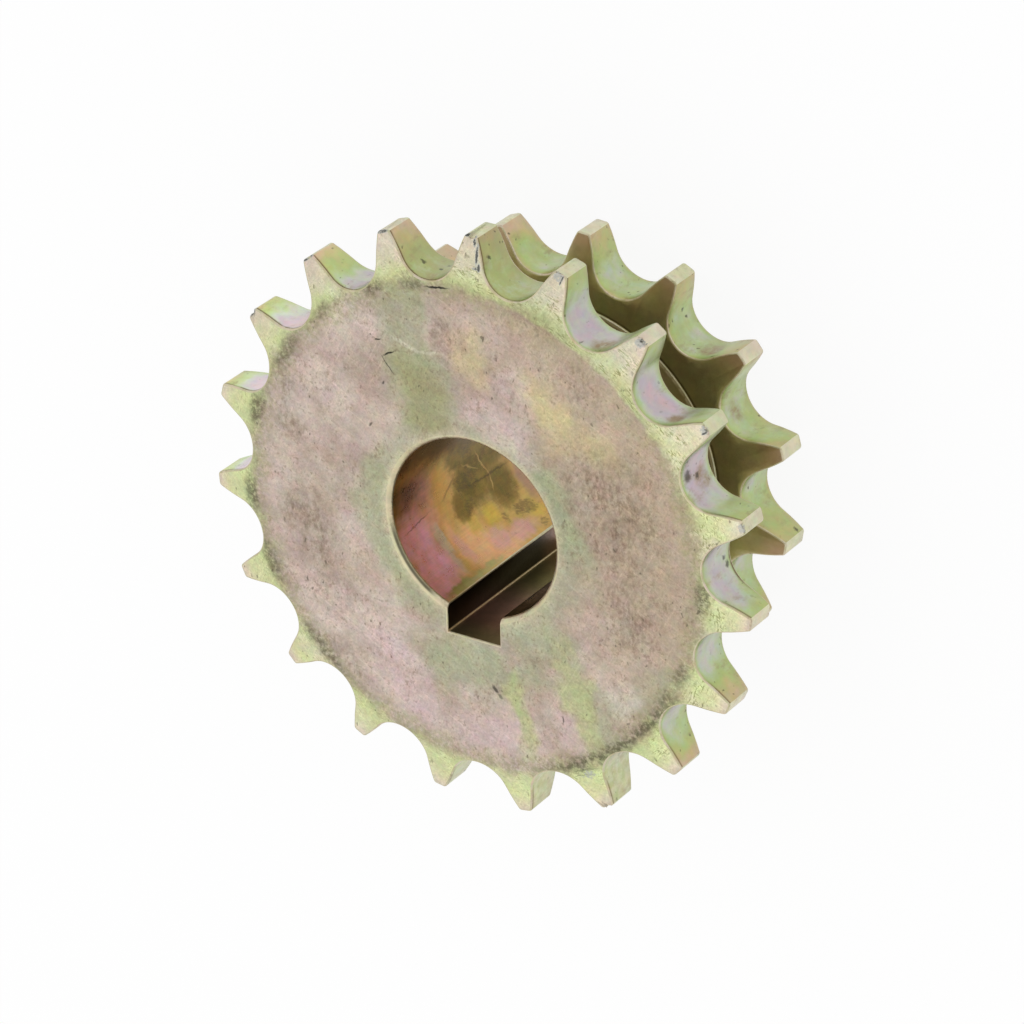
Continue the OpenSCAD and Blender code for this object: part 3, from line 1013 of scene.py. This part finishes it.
# Painted shade: far from the keyway the wall is darkened to brown, for the dark that it mirrors there.
shifted = wire.math("ADD", arc, wire.math("MULTIPLY_ADD", rough, 5.0, -2.5))
shifted = wire.math("ADD", shifted, wire.step(place["Height"], 19.0, 26.0, 0.0, 1.8))
brown = wire.times(wire.step(shifted, -20.0, -23.5, 0.0, 0.95), wire.step(arc, -38.0, -30.0))
colour = wire.mix(brown, colour, FAR_SHADE)
strip = wire.times(wire.step(arc, 2.0, 4.0), wire.step(arc, 12.0, 9.0))
colour = wire.mix(strip, colour, STRIP_BROWN)
lines = wire.noise(wire.stretch(wall, (5, 0.15, 1)), 1.0, detail=3.0)
colour = wire.tinge(colour, place["Spot"], 1.2, 0.35)
colour = wire.mix(wire.times(grime["Specks"], wire.math("SUBTRACT", 1.0, brown), 0.2), colour, SOOT)
colour = wire.shade(colour, wire.spread(grime["Patch"], 0.86, 1.08))
colour = wire.shade(colour, wire.spread(lines, 0.95, 1.04))
close_finish(wire, shader, colour, wire.spread(grime["Patch"], 0.26, 0.36), lines, 0.01)
print("finish bore_wall")

# %% [markdown]
# ## Keyway
# The broached keyway is dark. Its wall is painted nearly black as shade of the deep slot and turns purple
# brown only at the far end. Its floor is olive at the far end, purple brown further on and olive again in
# front, and a pale line along the corner is a painted highlight. Each change goes with the height, so one
# smooth step is enough for it.

# %% Keyway
WALL_SHADE = srgb(54, 45, 27)
WALL_FAR = srgb(160, 124, 104)
FLOOR_BROWN = srgb(154, 118, 100)
FLOOR_FAR = srgb(120, 112, 64)
FLOOR_FRONT = srgb(142, 136, 96)
CORNER_HIGHLIGHT = srgb(224, 212, 186)

wire, shader, place, grime = start_finish("keyway")
axes = wire.split(place["Spot"])
on_floor = wire.step(axes["Y"], 0.3 - KEY_FLOOR, 0.1 - KEY_FLOOR)
# Painted shade: the keyway's wall is nearly black, lighter only at the far end.
wall_tone = wire.mix(wire.step(place["Height"], 9.0, 2.0), WALL_SHADE, WALL_FAR)
floor_tone = wire.mix(wire.step(place["Height"], 22.0, 12.0), FLOOR_BROWN, FLOOR_FAR)
floor_tone = wire.mix(wire.step(place["Height"], 25.0, 30.0, 0.0, 0.8), floor_tone, FLOOR_FRONT)
colour = wire.mix(on_floor, wall_tone, floor_tone)
colour = wire.shade(colour, wire.spread(grime["Patch"], 0.85, 1.1))
# Painted highlight: a pale line along the corner between wall and floor.
corner = wire.times(on_floor, wire.step(axes["X"], 0.12 - KEY_HALF_WIDTH, 0.05 - KEY_HALF_WIDTH))
colour = wire.mix(corner, colour, CORNER_HIGHLIGHT)
close_finish(wire, shader, colour, wire.spread(grime["Grain"], 0.3, 0.42), grime["Grain"], 0.01)
print("finish keyway")

# %% [markdown]
# ## Worn edge
# Edges rub first: the film is worn to a pale cream, with dirt held in places, and part of the bore's front
# edge has a dark burr. A mask could search for edges, but the faces that the rounding made are already
# sorted out, so they simply wear this finish.

# %% Worn edge
EDGE_CREAM = srgb(214, 202, 176)
EDGE_OLIVE = srgb(186, 180, 142)
BORE_EDGE = srgb(204, 196, 162)
BURR_LINE = BORE_RADIUS + 0.2

wire, shader, place, grime = start_finish("worn_edge")
colour = wire.mix(wire.step(grime["Patch"], 0.4, 0.62), EDGE_CREAM, EDGE_OLIVE)
colour = wire.mix(wire.step(place["Reach"], BORE_RADIUS + 4, BORE_RADIUS + 2), colour, BORE_EDGE)
colour = wire.tinge(colour, place["Spot"], 1.5, 0.3)
colour = wire.mix(wire.times(grime["Soil"], 0.6), colour, UMBER)
off_burr = wire.math("ABSOLUTE", wire.math("SUBTRACT", place["Reach"], BURR_LINE))
burr = wire.step(off_burr, 0.22, 0.05)
burr_part = wire.times(wire.step(place["Turn"], -1.5, -1.2), wire.step(place["Turn"], -0.45, -0.6))
burr = wire.times(burr, burr_part, wire.step(place["Height"], FACE / 2, FACE), 0.85)
colour = wire.mix(burr, colour, SOOT)
colour = wire.shade(colour, wire.spread(grime["Patch"], 0.9, 1.06))
colour = knocked(wire, place, colour)
close_finish(wire, shader, colour, wire.spread(grime["Grain"], 0.32, 0.44), grime["Grain"], 0.02)
print("finishes", [material.name for material in mesh.materials])

# %% [markdown]
# ## The camera
# The photograph looks down on the large row at just under 50 degrees and is turned about the line of sight.
# A long lens far away keeps the rows nearly parallel. A constraint could aim the camera, but a direction
# from azimuth, elevation and roll keeps the values that were fitted to the photograph in plain view.

# %% Camera
SIGHT_AZIMUTH = math.radians(-133.21)
SIGHT_ELEVATION = math.radians(48.60)
SIGHT_ROLL = math.radians(126.18)
SIGHT_DISTANCE = 0.6505
SIGHT_POINT = Vector((6.22, 4.23, FACE)) * MM
LENS = 179.85
SENSOR_WIDTH = 36
CLIP_START = 0.01

forward = Vector((math.sin(SIGHT_AZIMUTH) * math.cos(SIGHT_ELEVATION),
                  math.cos(SIGHT_AZIMUTH) * math.cos(SIGHT_ELEVATION),
                  -math.sin(SIGHT_ELEVATION)))
camera_data = bpy.data.cameras.new("camera")
camera_data.lens = LENS
camera_data.sensor_width = SENSOR_WIDTH
camera_data.clip_start = CLIP_START
camera = bpy.data.objects.new("camera", camera_data)
bpy.context.scene.collection.objects.link(camera)
camera.location = SIGHT_POINT - forward * SIGHT_DISTANCE
camera.rotation_mode = "QUATERNION"
camera.rotation_quaternion = forward.to_track_quat("-Z", "Y") @ Quaternion((0, 0, 1), -SIGHT_ROLL)
bpy.context.scene.camera = camera
print("camera at", [round(part, 3) for part in camera.location])

# %% [markdown]
# ## The floor
# The part stands on white paper. Lit paper alone would come out grey, so most of what the camera and the
# mirrored rays see of it is a plain glow, and the rest is lit, which keeps a faint shadow under the part.

# %% Floor
FLOOR_HALF = 2.0
PAPER_WHITE = (0.9, 0.9, 0.9, 1)
PAPER_ROUGHNESS = 0.9
PAPER_SHINE = 0.1
GLOW_SHARE = 0.9

floor_shape = bmesh.new()
bmesh.ops.create_grid(floor_shape, x_segments=1, y_segments=1, size=FLOOR_HALF)
floor_mesh = bpy.data.meshes.new("floor")
floor_shape.to_mesh(floor_mesh)
floor_shape.free()
floor = bpy.data.objects.new("floor", floor_mesh)
floor.location.z = low.z
bpy.context.scene.collection.objects.link(floor)

paper = bpy.data.materials.new("white_paper")
paper.use_nodes = True
wire = Wiring(paper.node_tree)
lit = paper.node_tree.nodes["Principled BSDF"]
lit.inputs["Base Color"].default_value = PAPER_WHITE
lit.inputs["Roughness"].default_value = PAPER_ROUGHNESS
lit.inputs["Specular IOR Level"].default_value = PAPER_SHINE
glow = wire.node("ShaderNodeEmission")
rays = wire.node("ShaderNodeLightPath").outputs
mirrored = wire.math("MAXIMUM", rays["Is Glossy Ray"], rays["Is Transmission Ray"])
seen = wire.math("MAXIMUM", rays["Is Camera Ray"], mirrored)
blend = wire.node("ShaderNodeMixShader")
wire.feed(blend.inputs[0], wire.times(seen, GLOW_SHARE))
wire.feed(blend.inputs[1], lit.outputs[0])
wire.feed(blend.inputs[2], glow.outputs[0])
wire.feed(paper.node_tree.nodes["Material Output"].inputs["Surface"], blend.outputs[0])
floor_mesh.materials.append(paper)
print("floor", floor.name, "of", paper.name)

# %% [markdown]
# ## The lights
# Metal shows what is around it, so the light comes from all sides: a white world, and one large soft box
# overhead that gives it a direction. Small lamps would leave hard spots and hard shadows. The Standard view
# shows the colours as they were chosen.

# %% Lights
SKY_WHITE = (1, 1, 1, 1)
SKY_STRENGTH = 1.0
KEY_PLACE = (-0.05, -0.3, 1.2)
KEY_SIZE = 1.0
KEY_POWER = 0.8

world = bpy.context.scene.world or bpy.data.worlds.new("studio")
bpy.context.scene.world = world
world.use_nodes = True
sky = world.node_tree.nodes["Background"]
sky.inputs["Color"].default_value = SKY_WHITE
sky.inputs["Strength"].default_value = SKY_STRENGTH


def soft_box(name, place, size, power):
    """A square area light that looks at the middle of the part."""
    data = bpy.data.lights.new(name, "AREA")
    data.size = size
    data.energy = power
    box = bpy.data.objects.new(name, data)
    box.location = place
    box.rotation_mode = "QUATERNION"
    box.rotation_quaternion = (Vector((0, 0, FACE * MM / 2)) - Vector(place)).to_track_quat("-Z", "Y")
    bpy.context.scene.collection.objects.link(box)


soft_box("key_light", KEY_PLACE, KEY_SIZE, KEY_POWER)

view = bpy.context.scene.view_settings
view.view_transform = "Standard"
print("lights: sky", SKY_STRENGTH, "and key light", KEY_POWER)
